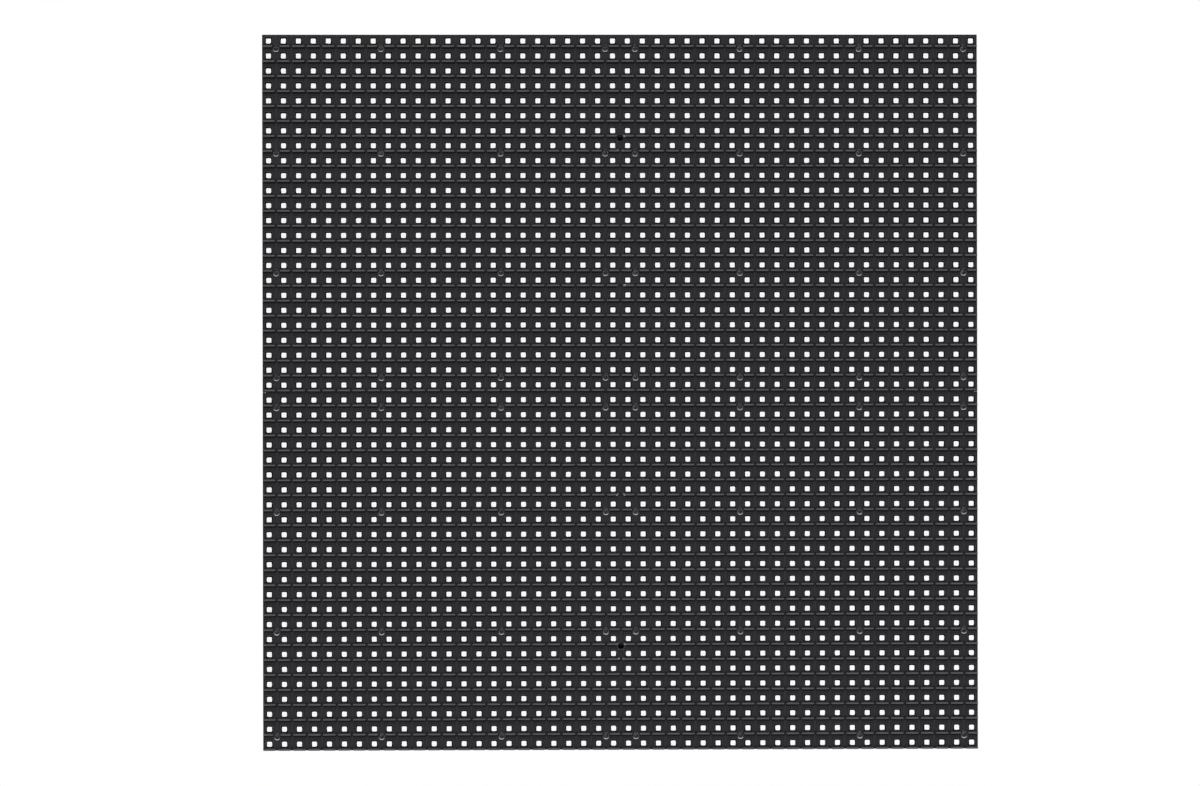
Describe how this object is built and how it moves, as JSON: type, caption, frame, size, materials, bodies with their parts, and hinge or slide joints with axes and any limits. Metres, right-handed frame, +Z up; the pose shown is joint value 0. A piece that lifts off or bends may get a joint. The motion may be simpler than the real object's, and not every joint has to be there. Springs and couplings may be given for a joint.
{
  "type": "led dot matrix display module",
  "caption": "Square outdoor LED dot matrix module with louvred black masks, white square LEDs, a sealed rear case and two front-worked quarter-turn locks.",
  "frame": {"origin": "centre of the rear face of the case, at the middle of the four threaded inserts", "axes": "+Z up the face, +X to the viewer's right as they look at the LEDs, -Y out of the face at the viewer, +Y into the cabinet"},
  "size_m": [0.319, 0.029, 0.319],
  "materials": {
    "mask": "fine matt moulded black",
    "screw": "blackened steel",
    "led": "milky white lens",
    "potting": "dark soft potting",
    "board": "dark green solder mask",
    "chip": "moulded black epoxy",
    "can": "drawn aluminium can",
    "socket": "moulded black",
    "pin": "gold flash",
    "power_socket": "natural nylon",
    "tinned": "tin plated",
    "case": "glass-filled black, lightly textured",
    "seal": "soft silicone",
    "brass": "knurled brass",
    "steel": "bright steel",
    "plated": "zinc plated"
  },
  "bodies": {
    "module": {"mask_top": "mask", "mask_bottom": "mask", "mask_screws": "screw", "led_rows": "led", "potting": "potting", "main_board": "board", "driver_chips": "chip", "row_switch_chips": "chip", "buffer_chips": "chip", "capacitors": "can", "data_in_socket": "socket", "data_out_socket": "socket", "data_pins": "pin", "power_socket": "power_socket", "power_pins": "tinned", "rear_case": "case", "case_seal": "seal", "threaded_inserts": "brass", "guide_pins": "steel", "lock_bushes": "plated", "lock_nuts": "plated"},
    "upper_lock": {"lock_upper_spindle": "plated", "lock_upper_seal": "seal", "lock_upper_tongue": "steel", "lock_upper_clip": "steel"},
    "lower_lock": {"lock_lower_spindle": "plated", "lock_lower_seal": "seal", "lock_lower_tongue": "steel", "lock_lower_clip": "steel"}
  },
  "joints": [
    {"name": "upper_lock_turn", "type": "hinge", "parent": "module", "child": "upper_lock", "pos_m": [0, 0, 0.11334], "axis": [0, -1, 0], "range_deg": [0, 90]},
    {"name": "lower_lock_turn", "type": "hinge", "parent": "module", "child": "lower_lock", "pos_m": [0, 0, -0.11334], "axis": [0, 1, 0], "range_deg": [0, 90]}
  ]
}
